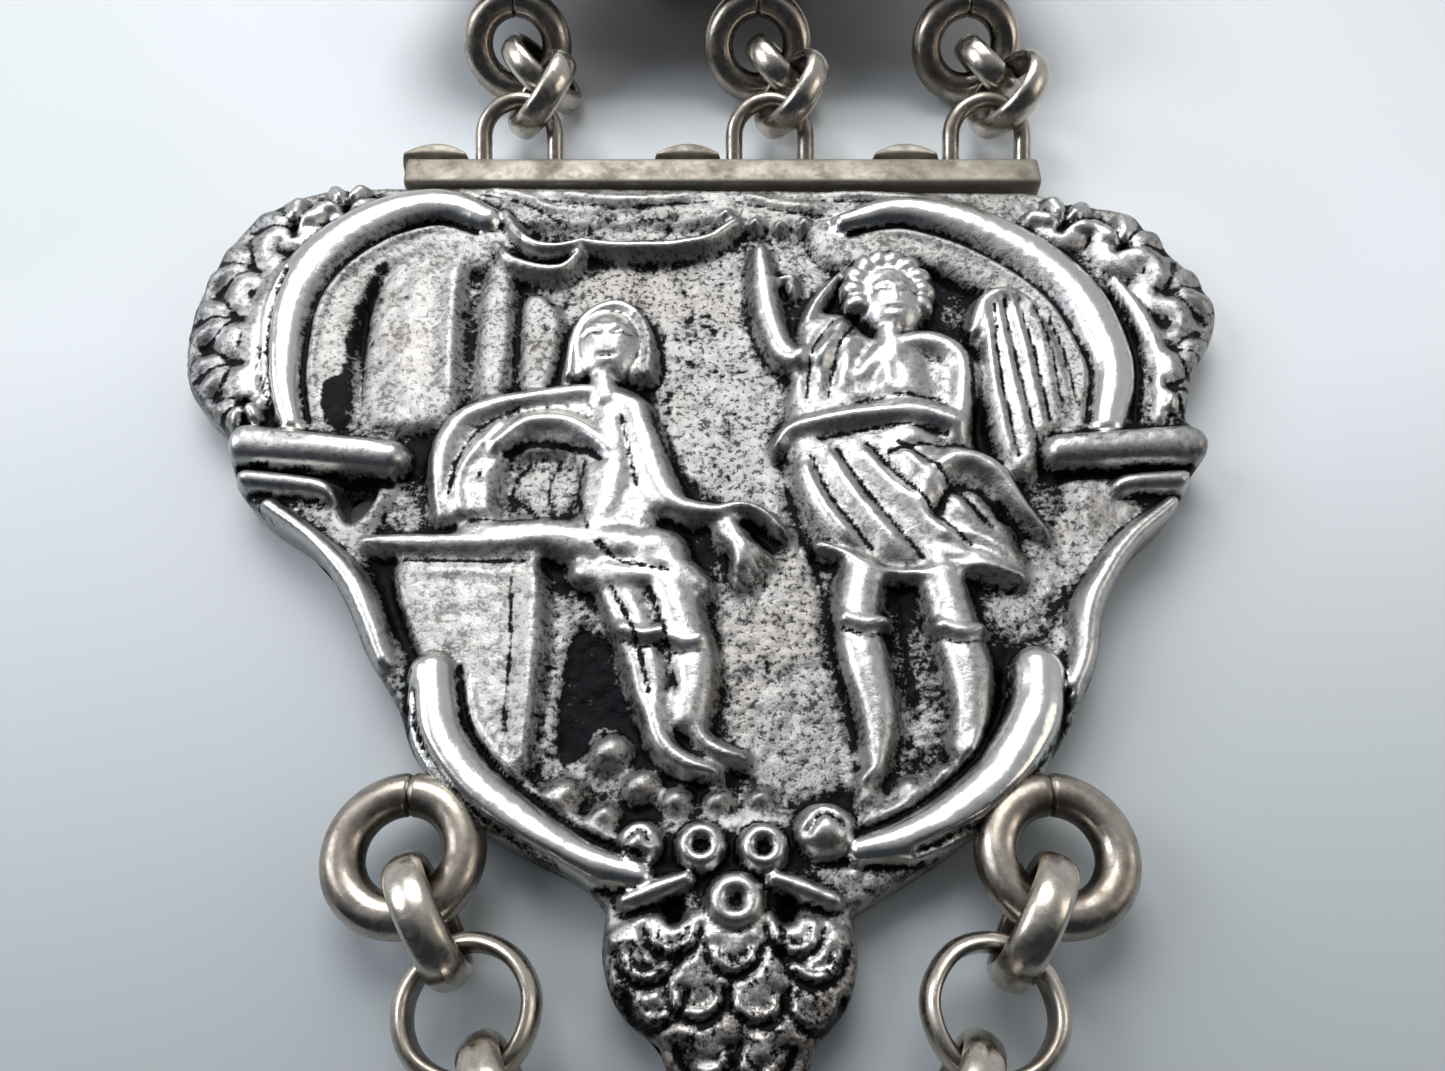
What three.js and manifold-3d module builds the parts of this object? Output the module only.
// A silver pocket watch chain, laid out flat and face up: a belt hook plate, three short strands,
// a cast plaque with a scroll rim, two long strands, and a swivel watch clip.
//
// Frame: +Y runs up the chain from the watch clip to the belt hook, +X to the right of a viewer who
// looks down on the face, +Z up from the table. The origin is on the table under the plaque's middle.
// All sizes are in millimetres.

import Module from "manifold-3d";
import * as THREE from "three";
import { mergeVertices } from "three/addons/utils/BufferGeometryUtils.js";

// ---- Driving dimensions ----

const PLAQUE_WIDTH = 43.6;
const PLAQUE_HEIGHT = 38.2;
const PLAQUE_THICKNESS = 2.9;
const FIELD_THICKNESS = 1.6;

const HOOK_PLATE_WIDTH = 33;
const HOOK_PLATE_HEIGHT = 24;
const HOOK_PLATE_THICKNESS = 1.9;
const HOOK_PLATE_FIELD = 1.2;

const BELT_HOOK_WIDTH = 9;
const BELT_HOOK_LENGTH = 14.5;
const BELT_HOOK_STOCK = 1.1;
const BELT_HOOK_SEAT = 7;
const BELT_GAP = 1.9;

const LINK_INNER = 3.3;
const LINK_THICKNESS = 0.65;
const LINK_BAND = 1.45;

const RING_INNER = 2.3;
const RING_WIRE = 1.6;
const RING_HEIGHT = 1.95;
const UPPER_RING_DROOP = THREE.MathUtils.degToRad(51);
const UPPER_RING_GRIP = 0.88;

const RAIL_WIDTH = 1.6;
const RAIL_HEIGHT = 1.6;
const RAIL_LIFT = 0.3;
const RAIL_LEFT_OVERHANG = 3.1;
const RAIL_RIGHT_OVERHANG = 0.2;
const EYE_PLACES = [-9.9, 2, 12.3];
const EYE_INNER = 2.6;
const EYE_WIRE = 0.8;
const EYE_LEG = 1.5;
const EYE_LIFT = 0.55;
const EYE_RISE = THREE.MathUtils.degToRad(30);
const SHOE_LENGTH = 3.4;
const SHOE_WIDTH = 1.3;

const GATHER_RING_INNER = 4.6;
const GATHER_RING_WIRE = 1.2;

const SWIVEL_EYE_INNER = 1.7;
const SWIVEL_EYE_WIRE = 0.8;
const SWIVEL_SHANK = 1.2;
const SWIVEL_HEAD = 2.1;
const SWIVEL_HEAD_LENGTH = 0.7;
const COLLAR_OUTER = 3.3;
const COLLAR_LENGTH = 2.4;
const CLIP_BAR = 1.5;
const CLIP_INNER_WIDTH = 3.8;
const CLIP_STRAIGHT = 6.4;
const GATE_BAR = 1.2;
const GATE_LENGTH = 4.6;
const GATE_HUB = 2;
const GATE_HUB_LENGTH = 0.7;
const CHEEK_THICKNESS = 0.55;
const PIN_WIRE = 0.7;
const SPRING_WIRE = 0.16;
const SPRING_TURNS = 3;

// Gaps: what turns has PLAY all round, and what is soldered keeps SOLDER_GAP to its neighbour.
const PLAY = 0.1;
const SOLDER_GAP = 0.3;
const HOOKING_SLACK = 0.18;
const TABLE_PLAY = 0.02;

// How finely round things are divided.
const LINK_STEPS = 20;
const RING_STEPS = 22;
const RING_SIDES = 9;
const OUTLINE_STEPS = 3;

// ---- Sizes that follow ----

const LINK_INNER_RADIUS = LINK_INNER / 2;
const RING_RADIUS = (RING_INNER + RING_WIRE) / 2;
const RING_INNER_RADIUS = RING_INNER / 2;
const EYE_RADIUS = (EYE_INNER + EYE_WIRE) / 2;
const GATHER_RING_RADIUS = (GATHER_RING_INNER + GATHER_RING_WIRE) / 2;
const SWIVEL_EYE_RADIUS = (SWIVEL_EYE_INNER + SWIVEL_EYE_WIRE) / 2;
const SWIVEL_EYE_REACH = SWIVEL_EYE_RADIUS + SWIVEL_EYE_WIRE / 2;
const CLIP_RADIUS = (CLIP_INNER_WIDTH + CLIP_BAR) / 2;

// Where a band's flat inner side meets a round hole, the band's width keeps it off the very end.
const BAND_FLAT = LINK_BAND * 0.35;
const LINK_REACH = Math.sqrt(LINK_INNER_RADIUS ** 2 - BAND_FLAT ** 2);
const RING_REACH = Math.sqrt(RING_INNER_RADIUS ** 2 - BAND_FLAT ** 2);

const X_AXIS = new THREE.Vector3(1, 0, 0);
const Z_AXIS = new THREE.Vector3(0, 0, 1);

// ---- Materials ----

const oxidised_silver = new THREE.MeshStandardMaterial({ color: 0xb9b7b4, roughness: 0.32, metalness: 1 });
const warm_silver = new THREE.MeshStandardMaterial({ color: 0xa39786, roughness: 0.38, metalness: 1 });
const spring_steel = new THREE.MeshStandardMaterial({ color: 0x8d9094, roughness: 0.3, metalness: 1 });

// ---- Joining and cutting ----

const wasm = await Module();
wasm.setup();

function to_solid(geometry) {
  const bare = geometry.clone();
  bare.deleteAttribute("normal");
  bare.deleteAttribute("uv");
  const merged = mergeVertices(bare, 1e-4);
  return new wasm.Manifold(new wasm.Mesh({
    numProp: 3,
    vertProperties: new Float32Array(merged.attributes.position.array),
    triVerts: new Uint32Array(merged.index.array),
  }));
}

function to_geometry(solid) {
  const mesh = solid.getMesh();
  const geometry = new THREE.BufferGeometry();
  geometry.setAttribute("position", new THREE.BufferAttribute(mesh.vertProperties, 3));
  geometry.setIndex(new THREE.BufferAttribute(mesh.triVerts, 1));
  return geometry;
}

function union(...geometries) {
  return to_geometry(geometries.map(to_solid).reduce((whole, piece) => whole.add(piece)));
}

function cut(geometry, ...tools) {
  return to_geometry(tools.map(to_solid).reduce((whole, tool) => whole.subtract(tool), to_solid(geometry)));
}

// ---- Basic shapes ----

function vector(x, y, z) {
  return new THREE.Vector3(x, y, z);
}

// A flat outline extruded along +Z from a start height to an end height.
function slab(shape, from, to) {
  const extruded = new THREE.ExtrudeGeometry(shape, {
    depth: to - from, bevelEnabled: false, curveSegments: OUTLINE_STEPS,
  });
  return extruded.translate(0, 0, from);
}

// A round bar along any curve.
function bar_along(curve, diameter, steps, sides = 8) {
  const section = new THREE.Shape();
  section.absarc(0, 0, diameter / 2, 0, 2 * Math.PI);
  return new THREE.ExtrudeGeometry(section, {
    steps, extrudePath: curve, bevelEnabled: false, curveSegments: sides / 2,
  });
}

// A cylinder between two points.
function rod(start, end, diameter, sides = 16) {
  const along = end.clone().sub(start);
  const cylinder = new THREE.CylinderGeometry(diameter / 2, diameter / 2, along.length(), sides);
  const turn = new THREE.Quaternion().setFromUnitVectors(vector(0, 1, 0), along.clone().normalize());
  const middle = start.clone().add(end).multiplyScalar(0.5);
  return cylinder.applyQuaternion(turn).translate(middle.x, middle.y, middle.z);
}

// A closed ring of round wire, its axis along Z. The radius is to the wire's middle.
function wire_ring(radius, wire, steps = RING_STEPS) {
  return new THREE.TorusGeometry(radius, wire / 2, RING_SIDES, steps);
}

// Half a link's D-shaped section: shares of its thickness outwards, and of its band sideways.
const BAND_DOME = [[0, 0.35], [0.3, 0.5], [0.7, 0.42], [1, 0.17]];

// A closed link: a D-shaped band, flat inside and domed outside, its axis along Z.
function band_link() {
  const half = BAND_DOME.map(([out, side]) => [LINK_INNER_RADIUS + out * LINK_THICKNESS, side * LINK_BAND]);
  const profile = [...half, ...half.map(([r, side]) => [r, -side]).reverse()];
  profile.push(profile[0]);
  const points = profile.map(([r, side]) => new THREE.Vector2(r, side)).reverse();
  return new THREE.LatheGeometry(points, LINK_STEPS).rotateX(Math.PI / 2);
}

// ---- The assembly ----

const chain = new THREE.Group();

function add(name, geometry, material, centre = vector(0, 0, 0), axis = Z_AXIS) {
  const mesh = new THREE.Mesh(geometry, material);
  mesh.name = name;
  mesh.position.copy(centre);
  mesh.quaternion.setFromUnitVectors(Z_AXIS, axis.clone().normalize());
  chain.add(mesh);
  return mesh;
}

function add_link(name, centre, axis) {
  return add(name, band_link(), warm_silver, centre, axis);
}

// ---- Plaque ----

// Outlines are drawn at this size and stretched to the plaque's own.
const DRAWN_WIDTH = 43.6;
const DRAWN_HEIGHT = 38.2;

function drawn(points) {
  const across = PLAQUE_WIDTH / DRAWN_WIDTH;
  const along = PLAQUE_HEIGHT / DRAWN_HEIGHT;
  return points.map(([x, y]) => new THREE.Vector2(x * across, y * along));
}

// Each run is one smooth curve, and the outline has a corner between two runs.
function outline(runs) {
  const shape = new THREE.Shape();
  const first = runs[0][0];
  shape.moveTo(first.x, first.y);
  for (const run of runs) shape.splineThru(run.slice(1));
  return shape;
}

function plaque_outline() {
  const left_lobe = drawn([
    [-16.4, 17.3], [-18.8, 17], [-20.8, 15.8], [-22, 13.9], [-22.7, 11], [-22.7, 8.2], [-21.9, 5.6],
    [-19.6, 3.4],
  ]);
  const left_bracket = drawn([[-19.6, 3.4], [-19.5, 2.2], [-18.9, 0.9], [-18, 0]]);
  const left_flank = drawn([
    [-18, 0], [-15.6, -1.7], [-14, -3.9], [-13, -5.8], [-11.6, -7.8], [-10.6, -9.8], [-8.2, -12],
    [-5, -13.6], [-4, -14.6],
  ]);
  const drop_left = drawn([[-4, -14.6], [-4, -16.2], [-3.4, -17.6], [-2.2, -18.5]]);
  const drop_tip = drawn([[-2.2, -18.5], [-1.6, -19.7], [0.2, -20.8], [2, -19.7], [2.6, -18.5]]);
  const drop_right = drawn([[2.6, -18.5], [3.6, -17.4], [4, -16], [3.9, -14.7]]);
  const right_flank = drawn([
    [3.9, -14.7], [6.8, -13], [9.8, -10.9], [11.6, -8.8], [13.1, -6.1], [13.8, -3.8], [15.2, -1.7],
    [17.1, 0.1], [17.8, 1.4],
  ]);
  const right_bracket = drawn([[17.8, 1.4], [18.8, 2.8], [18.4, 4.5]]);
  const right_lobe = drawn([
    [18.4, 4.5], [19, 6.4], [20.4, 8.6], [20.8, 10.4], [20, 12.5], [19, 14], [18.2, 15.6], [16.2, 16.2],
    [13.8, 17],
  ]);
  const top_edge = drawn([[13.8, 17], [-1.3, 17.2], [-16.4, 17.3]]);
  return outline([
    left_lobe, left_bracket, left_flank, drop_left, drop_tip, drop_right, right_flank, right_bracket,
    right_lobe, top_edge,
  ]);
}

// The sunk field, inside the scrolls.
function field_outline() {
  return outline([drawn([
    [-10.6, 14.8], [-14.4, 14.2], [-18, 11.4], [-18.6, 7], [-16.6, 4.4], [-13.6, 3.4], [-13.6, -0.6],
    [-11.8, -5],
    [-8.4, -9], [-4.6, -11.8], [0, -11], [4.4, -11.4], [8.4, -9], [10.2, -5.6], [12.4, -2.4], [13.4, 2],
    [15, 6], [14.8, 10], [12, 13], [6.6, 14.8], [2, 14.4], [-4, 13.8], [-8.6, 12.6], [-10.6, 14.8],
  ])]);
}

function pierced_hole() {
  const edge = drawn([[-14.9, 1.5], [-15, 0.6], [-14.4, -0.4], [-13.8, 0.4], [-13.7, 1.3], [-14.9, 1.5]]);
  return slab(outline([edge]), -1, PLAQUE_THICKNESS + 1);
}

function dome(half_width, half_length, height) {
  return new THREE.SphereGeometry(1, 12, 8).scale(half_width, half_length, height);
}

// A low round boss on the field, for the figures, the flower and the shell of the drop.
function boss(x, y, width, length, height) {
  const [centre] = drawn([[x, y]]);
  return dome(width / 2, length / 2, height).translate(centre.x, centre.y, FIELD_THICKNESS);
}

const lower_ring_places = drawn([[-10.55, -12.9], [10.55, -12.9]]);

// What is cut out of a plate where a ring is soldered to its edge.
function ring_seat() {
  return wire_ring(RING_RADIUS, RING_WIRE + 2 * SOLDER_GAP);
}

function plaque() {
  const relief_height = PLAQUE_THICKNESS - FIELD_THICKNESS;
  const body = cut(
    slab(plaque_outline(), 0, PLAQUE_THICKNESS),
    slab(field_outline(), FIELD_THICKNESS, PLAQUE_THICKNESS + 1),
    pierced_hole(),
    slab(drop_hollow(), FIELD_THICKNESS, PLAQUE_THICKNESS + 1),
    ...lower_ring_places.map((place) => ring_seat().translate(place.x, place.y, RING_HEIGHT)),
  );
  return union(
    body,
    boss(-4.9, 9.2, 4.2, 4.6, relief_height),
    boss(-6, 3, 8, 5.4, relief_height * 0.8),
    boss(-3.2, -4.6, 4.4, 8, relief_height * 0.8),
    boss(7.4, 11.4, 4, 4.4, relief_height),
    boss(6.8, 4.2, 6.4, 11, relief_height * 0.9),
    boss(6.8, -5, 5, 8.6, relief_height * 0.8),
    boss(12.2, 7, 4, 9, relief_height * 0.7),
    boss(0, -14.3, 2.6, 2.6, relief_height),
    boss(0, -17, 5.2, 3, relief_height * 0.9),
  );
}

function drop_hollow() {
  return outline([drawn([
    [-3, -14.9], [-3, -16.6], [-1.4, -18.2], [0.2, -19.4], [1.8, -18.2], [3, -16.6], [3, -14.9], [0, -13.4],
    [-3, -14.9],
  ])]);
}

// ---- Rail along the plaque's top edge, with its eyes ----

const SIDES = ["left", "centre", "right"];
const [plaque_top] = drawn([[0, 17.3]]);
const rail_back = plaque_top.y + SOLDER_GAP + RAIL_WIDTH;
const rail_left = EYE_PLACES[0] - EYE_RADIUS - EYE_WIRE / 2 - RAIL_LEFT_OVERHANG;
const rail_right = EYE_PLACES[2] + EYE_RADIUS + EYE_WIRE / 2 + RAIL_RIGHT_OVERHANG;

function rail() {
  const bar = new THREE.BoxGeometry(rail_right - rail_left, RAIL_WIDTH, RAIL_HEIGHT);
  return bar.translate((rail_left + rail_right) / 2, rail_back - RAIL_WIDTH / 2, RAIL_LIFT + RAIL_HEIGHT / 2);
}

// The eye's middle stands up and back from the rail, on its two legs.
const eye_direction = vector(0, Math.cos(EYE_RISE), Math.sin(EYE_RISE));
const eye_foot = vector(0, rail_back + SOLDER_GAP, EYE_LIFT + EYE_WIRE / 2);
const eye_middle = eye_foot.clone().addScaledVector(eye_direction, EYE_LEG);

// Two straight legs and a half circle between them, in the plane of X and the eye's direction.
class StapleCurve extends THREE.Curve {
  getPoint(t) {
    const bend = Math.PI * EYE_RADIUS;
    const walked = t * (2 * EYE_LEG + bend);
    let across = -EYE_RADIUS;
    let along = walked - EYE_LEG;
    if (walked > EYE_LEG + bend) {
      across = EYE_RADIUS;
      along = EYE_LEG + bend - walked;
    } else if (walked > EYE_LEG) {
      const angle = (walked - EYE_LEG) / EYE_RADIUS;
      across = -EYE_RADIUS * Math.cos(angle);
      along = EYE_RADIUS * Math.sin(angle);
    }
    return vector(across, along, 0);
  }
}

function rail_eye() {
  const staple = bar_along(new StapleCurve(), EYE_WIRE, 18);
  return staple.rotateX(EYE_RISE);
}

const shoe_shift = EYE_RADIUS + EYE_WIRE / 2 + PLAY + SHOE_LENGTH / 2;

// A lens-shaped pad of solder and sheet, behind the rail and beside the eye's left foot.
function eye_shoe() {
  const shape = new THREE.Shape();
  shape.moveTo(-SHOE_LENGTH / 2, 0);
  shape.lineTo(SHOE_LENGTH / 2, 0);
  shape.quadraticCurveTo(0, 2 * SHOE_WIDTH, -SHOE_LENGTH / 2, 0);
  return slab(shape, 0, RAIL_HEIGHT);
}

// ---- Strands ----

// The two links of an upper strand lie slack, in a zigzag from the eye to the upper ring.
// Each step is a direction and the reach of the two loops that hook there, less the slack.
const upper_steps = [
  { direction: vector(0.45, 0.8, 0.39), length: EYE_INNER / 2 + LINK_INNER_RADIUS - 0.65 },
  { direction: vector(-0.12, 0.944, -0.309), length: 2 * LINK_INNER_RADIUS - 0.61 },
  { direction: vector(-0.64, 0.695, 0.33), length: RING_INNER_RADIUS + LINK_INNER_RADIUS - 0.9 },
];
const upper_axes = [vector(0.77, -0.17, -0.61), vector(0.69, 0.36, 0.62)];

function walk(start, steps) {
  const places = [];
  let place = start;
  for (const { direction, length } of steps) {
    place = place.clone().addScaledVector(direction.clone().normalize(), length);
    places.push(place);
  }
  return places;
}

const upper_places = walk(eye_middle, upper_steps);
const upper_ring_middle = upper_places[2];

// The lower strands run inwards and together. Links stand and lie by turns, and each link's heading
// differs a little from the strand's own, so that the strand bows.
const BOW = [2, 3, 1, 0, -1, -2, -3].map(THREE.MathUtils.degToRad);
const LYING_DROP = 0.12;
const STANDING_HEIGHT = LINK_INNER_RADIUS + LINK_THICKNESS + TABLE_PLAY;
const GATHER_HEIGHT = SWIVEL_EYE_REACH + PLAY;

function stands(index) {
  return index % 2 === 0;
}

function link_height(index) {
  return stands(index) ? STANDING_HEIGHT : STANDING_HEIGHT - LYING_DROP;
}

// How far a link goes along the table from the loop before it.
function link_step(index) {
  const reach = index === 0 ? RING_REACH : LINK_REACH;
  const rise = link_height(index) - (index === 0 ? RING_HEIGHT : link_height(index - 1));
  return Math.sqrt((reach + LINK_REACH - HOOKING_SLACK) ** 2 - rise ** 2);
}

// The gathering ring's wire passes inside each strand's last link.
const gather_reach = LINK_INNER_RADIUS - GATHER_RING_WIRE / 2 - HOOKING_SLACK;
const gather_drop = link_height(BOW.length - 1) - GATHER_HEIGHT;
const gather_step = Math.sqrt(gather_reach ** 2 - gather_drop ** 2);

const strand_length = BOW.reduce((length, bend, index) => length + link_step(index), gather_step);

// The strands close in until their last links nearly meet, so half the distance between the ends of
// the strands is what a leaning link needs beside it. The lean depends on that distance in turn, so
// a few rounds settle both.
const LEAN_ROUNDS = 8;

function room_beside(lean) {
  const heading = lean + BOW[BOW.length - 1];
  const reaches = BAND_DOME.map(([out, side]) => (
    (LINK_INNER_RADIUS + out * LINK_THICKNESS) * Math.sin(heading) + side * LINK_BAND * Math.cos(heading)
  ));
  return Math.max(...reaches) - gather_step * Math.sin(heading);
}

let strand_heading = 0;
for (let round = 0; round < LEAN_ROUNDS; round += 1) {
  strand_heading = Math.asin((lower_ring_places[1].x - room_beside(strand_heading)) / strand_length);
}

function lower_strand(ring_place) {
  const inward = -Math.sign(ring_place.x);
  let place = ring_place;
  return BOW.map((bend, index) => {
    const heading = strand_heading + bend;
    const direction = vector(inward * Math.sin(heading), -Math.cos(heading), 0);
    place = vector(place.x, place.y, 0).addScaledVector(direction, link_step(index)).setZ(link_height(index));
    const sideways = vector(-direction.y, direction.x, 0);
    return { place, direction, axis: stands(index) ? sideways : Z_AXIS };
  });
}

const [left_links, right_links] = lower_ring_places.map(lower_strand);
const last_link = left_links[BOW.length - 1];
const gather_hold = last_link.place.clone().addScaledVector(last_link.direction, gather_step);
const gather_middle = vector(
  0, gather_hold.y - Math.sqrt(GATHER_RING_RADIUS ** 2 - gather_hold.x ** 2), GATHER_HEIGHT,
);

// ---- Hook plate and belt hook ----

const plate_back = 2 * BELT_HOOK_STOCK + BELT_GAP + SOLDER_GAP;
const plate_edge = upper_ring_middle.y + UPPER_RING_GRIP;

function plate_drawn(points) {
  return points.map(([x, y]) => new THREE.Vector2(x * HOOK_PLATE_WIDTH, plate_edge + y * HOOK_PLATE_HEIGHT));
}

// Half an outline in shares of the plate's size; the other half mirrors it.
function mirrored_outline(half) {
  const left = half.map(([x, y]) => [-x, y]).reverse();
  return outline([plate_drawn(half), plate_drawn(left)]);
}

function hook_plate_outline() {
  return mirrored_outline([
    [0, 0], [0.2, 0.004], [0.4, 0.01], [0.47, 0.05], [0.5, 0.2], [0.46, 0.36], [0.47, 0.5], [0.42, 0.66],
    [0.28, 0.76], [0.2, 0.9], [0.1, 0.985], [0, 1],
  ]);
}

function hook_plate_field() {
  return mirrored_outline([
    [0, 0.13], [0.24, 0.13], [0.38, 0.16], [0.4, 0.26], [0.35, 0.42], [0.34, 0.56], [0.2, 0.64], [0, 0.68],
  ]);
}

function upper_ring_axis() {
  return vector(0, -Math.sin(UPPER_RING_DROOP), Math.cos(UPPER_RING_DROOP));
}

function upper_ring_seat(eye_x) {
  const turn = new THREE.Quaternion().setFromUnitVectors(Z_AXIS, upper_ring_axis());
  const { x, y, z } = upper_ring_middle;
  return ring_seat().applyQuaternion(turn).translate(eye_x + x, y, z);
}

function hook_plate() {
  const top = plate_back + HOOK_PLATE_THICKNESS;
  const field = plate_back + HOOK_PLATE_FIELD;
  const [crest, middle] = plate_drawn([[0, 0.82], [0, 0.38]]);
  const crest_boss = dome(3.4, 2.6, 1.1).translate(crest.x, crest.y, top - 0.4);
  const middle_boss = dome(5, 3.6, 1.2).translate(middle.x, middle.y, field);
  const body = cut(
    slab(hook_plate_outline(), plate_back, top),
    slab(hook_plate_field(), field, top + 1),
    ...EYE_PLACES.map(upper_ring_seat),
  );
  return union(body, crest_boss, middle_boss);
}

// A strip bent over at its top: the short leg is soldered to the plate and the long one takes the belt.
function belt_hook() {
  const bend_outer = BELT_HOOK_STOCK + BELT_GAP / 2;
  const bend_at = plate_edge + HOOK_PLATE_HEIGHT - bend_outer - 1;
  const side = new THREE.Shape();
  side.moveTo(bend_at - BELT_HOOK_LENGTH, 0);
  side.lineTo(bend_at, 0);
  side.absarc(bend_at, bend_outer, bend_outer, -Math.PI / 2, Math.PI / 2, false);
  side.lineTo(bend_at - BELT_HOOK_SEAT, 2 * bend_outer);
  side.lineTo(bend_at - BELT_HOOK_SEAT, 2 * bend_outer - BELT_HOOK_STOCK);
  side.lineTo(bend_at, 2 * bend_outer - BELT_HOOK_STOCK);
  side.absarc(bend_at, bend_outer, BELT_GAP / 2, Math.PI / 2, -Math.PI / 2, true);
  side.lineTo(bend_at - BELT_HOOK_LENGTH, BELT_HOOK_STOCK);
  const strip = new THREE.ExtrudeGeometry(side, {
    depth: BELT_HOOK_WIDTH, bevelEnabled: false, curveSegments: 10,
  });
  const lengthways = new THREE.Matrix4().makeBasis(vector(0, 1, 0), Z_AXIS, X_AXIS);
  return strip.applyMatrix4(lengthways).translate(-BELT_HOOK_WIDTH / 2, 0, 0);
}

// ---- Swivel and watch clip, its axis along Y at the swivel eye's height ----

const swivel_slack = SWIVEL_EYE_INNER / 2 - GATHER_RING_WIRE / 2 - PLAY;
const swivel_height = SWIVEL_EYE_REACH + TABLE_PLAY;
const swivel_middle = vector(0, gather_middle.y - GATHER_RING_RADIUS - swivel_slack, swivel_height);
const collar_top = swivel_middle.y - SWIVEL_EYE_REACH - 2 * PLAY;
const collar_bottom = collar_top - COLLAR_LENGTH;

function at(x, y, z = 0) {
  return vector(x, y, swivel_height + z);
}

function swivel_post() {
  const eye = wire_ring(SWIVEL_EYE_RADIUS, SWIVEL_EYE_WIRE, 18)
    .rotateY(Math.PI / 2)
    .translate(0, swivel_middle.y, swivel_height);
  const shank_end = collar_bottom - PLAY - SWIVEL_HEAD_LENGTH;
  const shank = rod(at(0, shank_end + 0.1), at(0, swivel_middle.y - SWIVEL_EYE_RADIUS), SWIVEL_SHANK);
  const head = rod(at(0, shank_end), at(0, collar_bottom - PLAY), SWIVEL_HEAD);
  return union(eye, shank, head);
}

// The bow of the clip: out from the collar on the left, down, round and up to the gate's end.
const shoulder_height = collar_bottom + 0.7 * CLIP_BAR;
const bow_top = collar_bottom - CLIP_RADIUS;
const bow_bottom = bow_top - CLIP_STRAIGHT;
const gate_pivot = at(CLIP_RADIUS, bow_top);
const gate_end = gate_pivot.y - GATE_LENGTH;

function clip_bow() {
  const path = new THREE.CurvePath();
  const shoulder = vector(0, shoulder_height, 0);
  path.add(new THREE.QuadraticBezierCurve3(
    shoulder, vector(-CLIP_RADIUS, shoulder.y, 0), vector(-CLIP_RADIUS, bow_top, 0),
  ));
  path.add(new THREE.LineCurve3(vector(-CLIP_RADIUS, bow_top, 0), vector(-CLIP_RADIUS, bow_bottom, 0)));
  const round = [];
  for (let step = 0; step <= 8; step += 1) {
    const angle = Math.PI * (1 + step / 8);
    round.push(vector(CLIP_RADIUS * Math.cos(angle), bow_bottom + CLIP_RADIUS * Math.sin(angle), 0));
  }
  path.add(new THREE.CatmullRomCurve3(round));
  path.add(new THREE.LineCurve3(
    vector(CLIP_RADIUS, bow_bottom, 0), vector(CLIP_RADIUS, gate_end - 2 * PLAY, 0),
  ));
  return bar_along(path, CLIP_BAR, 30).translate(0, 0, swivel_height);
}

// A cylinder along the gate's pivot, reaching as far above the clip's plane as below it.
function pivot_rod(reach, diameter, sides = 16) {
  const { x, y } = gate_pivot;
  return rod(at(x, y, -reach), at(x, y, reach), diameter, sides);
}

// Two cheeks that hold the gate's pin, on an arm from the collar's right side.
function clip_cheeks() {
  const inner = GATE_HUB_LENGTH / 2 + PLAY;
  const outer = inner + CHEEK_THICKNESS + SPRING_TURNS * SPRING_WIRE;
  const disc = pivot_rod(outer, GATE_HUB);
  const arm = rod(at(0, shoulder_height), at(gate_pivot.x, gate_pivot.y), CLIP_BAR, 10);
  const slot = new THREE.BoxGeometry(2 * GATE_HUB, 2 * GATE_HUB, 2 * spring_side())
    .translate(gate_pivot.x + 0.15 * GATE_HUB, gate_pivot.y - 0.6 * GATE_HUB, swivel_height);
  const pin_hole = pivot_rod(outer + 1, PIN_WIRE + 2 * PLAY);
  return cut(union(disc, arm), slot, pin_hole);
}

// The slot is as wide as the hub and the spring beside it.
function spring_side() {
  return GATE_HUB_LENGTH / 2 + PLAY + SPRING_TURNS * SPRING_WIRE;
}

function clip_body() {
  const collar = rod(at(0, collar_bottom), at(0, collar_top), COLLAR_OUTER, 20);
  const bore = rod(at(0, collar_bottom - CLIP_RADIUS), at(0, collar_top + 1), SWIVEL_SHANK + 2 * PLAY);
  const head_room = rod(
    at(0, collar_bottom - CLIP_RADIUS), at(0, collar_bottom), SWIVEL_HEAD + 4 * PLAY,
  );
  return cut(union(collar, clip_bow(), clip_cheeks()), bore, head_room);
}

// A bar with a drilled hub at its top; it shuts against the end of the bow.
function clip_gate() {
  const half = GATE_HUB_LENGTH / 2;
  const { x, y } = gate_pivot;
  const hub = pivot_rod(half, GATE_HUB - 4 * PLAY);
  const bar = rod(at(x, gate_end), at(x, y - 0.3), GATE_BAR, 10);
  const hole = pivot_rod(GATE_BAR, PIN_WIRE + 2 * PLAY);
  const cheek_room = GATE_HUB + 2 * PLAY;
  const above = rod(at(x, y, half), at(x, y, GATE_BAR), cheek_room);
  const below = rod(at(x, y, -GATE_BAR), at(x, y, -half), cheek_room);
  return cut(union(hub, bar), hole, above, below);
}

function gate_pin() {
  return pivot_rod(spring_side() + CHEEK_THICKNESS, PIN_WIRE, 12);
}

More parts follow.
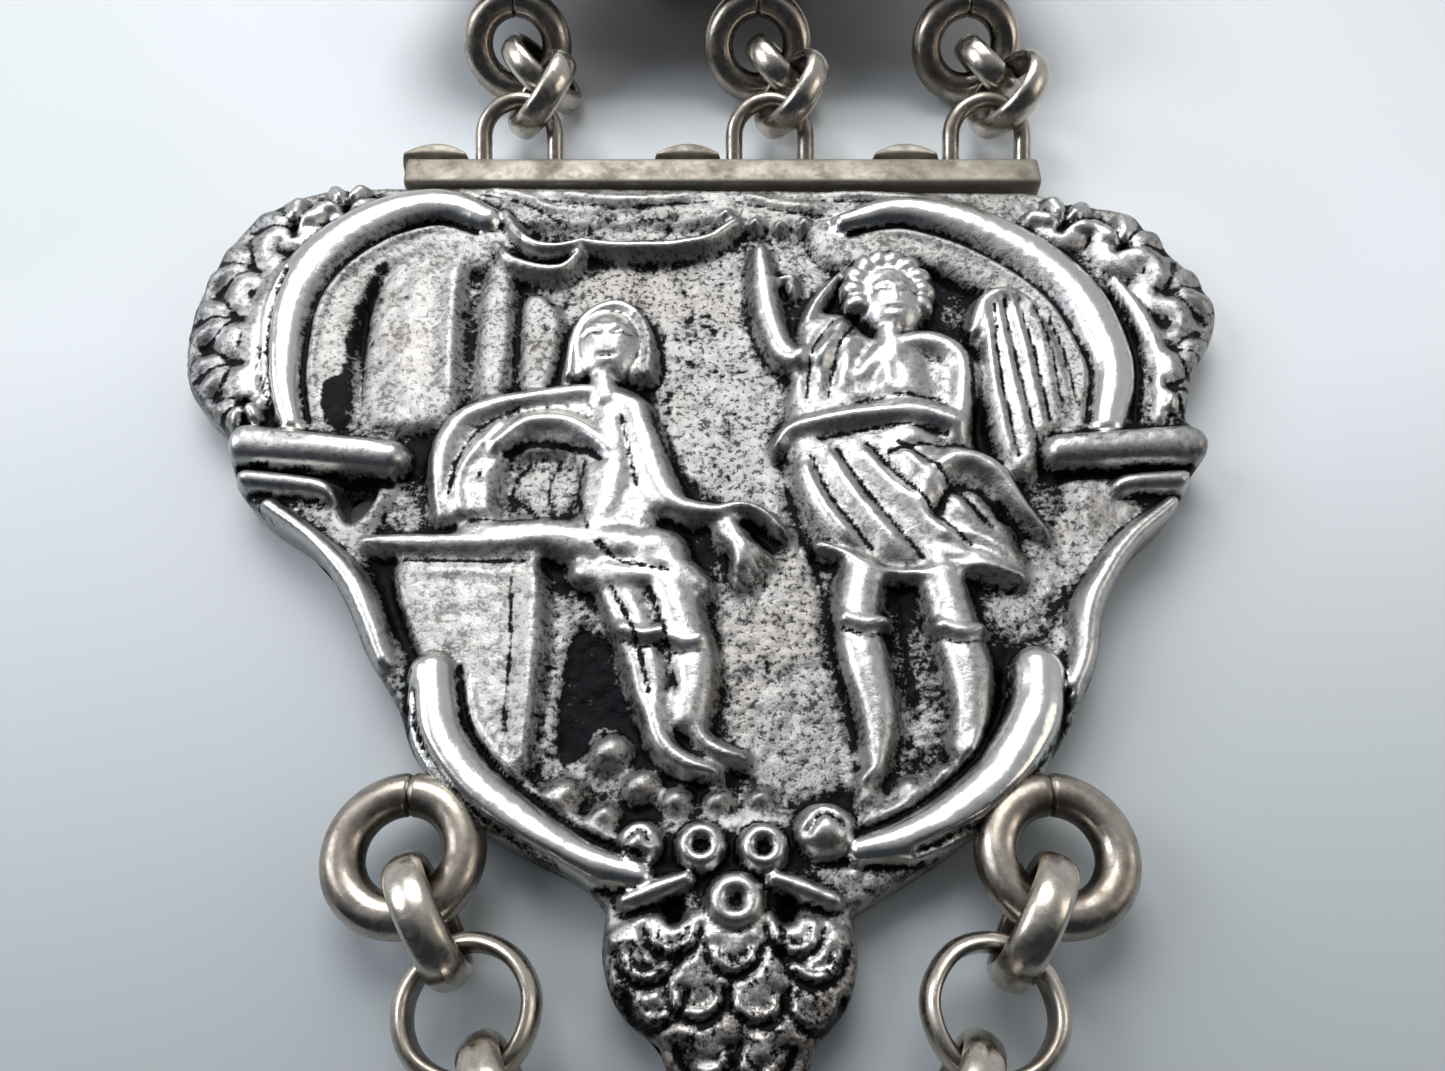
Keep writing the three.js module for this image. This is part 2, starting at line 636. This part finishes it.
// A few close turns of fine wire round the pin, joined into one ribbed ring.
function gate_spring() {
  const inner = PIN_WIRE / 2 + PLAY / 2;
  const start = GATE_HUB_LENGTH / 2 + PLAY / 2;
  const profile = [new THREE.Vector2(inner, start)];
  for (let turn = 0; turn < SPRING_TURNS; turn += 1) {
    const low = start + turn * SPRING_WIRE;
    profile.push(new THREE.Vector2(inner + SPRING_WIRE * 0.55, low));
    profile.push(new THREE.Vector2(inner + SPRING_WIRE, low + SPRING_WIRE / 2));
  }
  const end = start + SPRING_TURNS * SPRING_WIRE;
  profile.push(new THREE.Vector2(inner + SPRING_WIRE * 0.55, end));
  profile.push(new THREE.Vector2(inner, end));
  profile.push(profile[0]);
  return new THREE.LatheGeometry(profile, 14)
    .rotateX(Math.PI / 2)
    .translate(gate_pivot.x, gate_pivot.y, swivel_height);
}

// ---- Put it together ----

add("plaque", plaque(), oxidised_silver);
add("rail", rail(), warm_silver);

SIDES.forEach((side, index) => {
  const shift = vector(EYE_PLACES[index], 0, 0);
  const shoe_middle = vector(EYE_PLACES[index] - shoe_shift, rail_back + SOLDER_GAP, PLAY);
  add(`${side}_rail_eye`, rail_eye(), warm_silver, eye_middle.clone().add(shift));
  add(`${side}_eye_shoe`, eye_shoe(), warm_silver, shoe_middle);
  upper_axes.forEach((axis, link) => {
    add_link(`${side}_upper_link_${link + 1}`, upper_places[link].clone().add(shift), axis);
  });
  const ring = wire_ring(RING_RADIUS, RING_WIRE);
  add(`${side}_upper_ring`, ring, warm_silver, upper_ring_middle.clone().add(shift), upper_ring_axis());
});

add("hook_plate", hook_plate(), oxidised_silver);
add("belt_hook", belt_hook(), warm_silver);

[["left", left_links], ["right", right_links]].forEach(([side, links], index) => {
  const { x, y } = lower_ring_places[index];
  add(`${side}_plaque_ring`, wire_ring(RING_RADIUS, RING_WIRE), warm_silver, vector(x, y, RING_HEIGHT));
  links.forEach(({ place, axis }, link) => add_link(`${side}_lower_link_${link + 1}`, place, axis));
});
add("gather_ring", wire_ring(GATHER_RING_RADIUS, GATHER_RING_WIRE, 26), warm_silver, gather_middle);
add("swivel_post", swivel_post(), warm_silver);
add("clip_body", clip_body(), warm_silver);
add("clip_gate", clip_gate(), warm_silver);
add("gate_pin", gate_pin(), spring_steel);
add("gate_spring", gate_spring(), spring_steel);

export default chain;
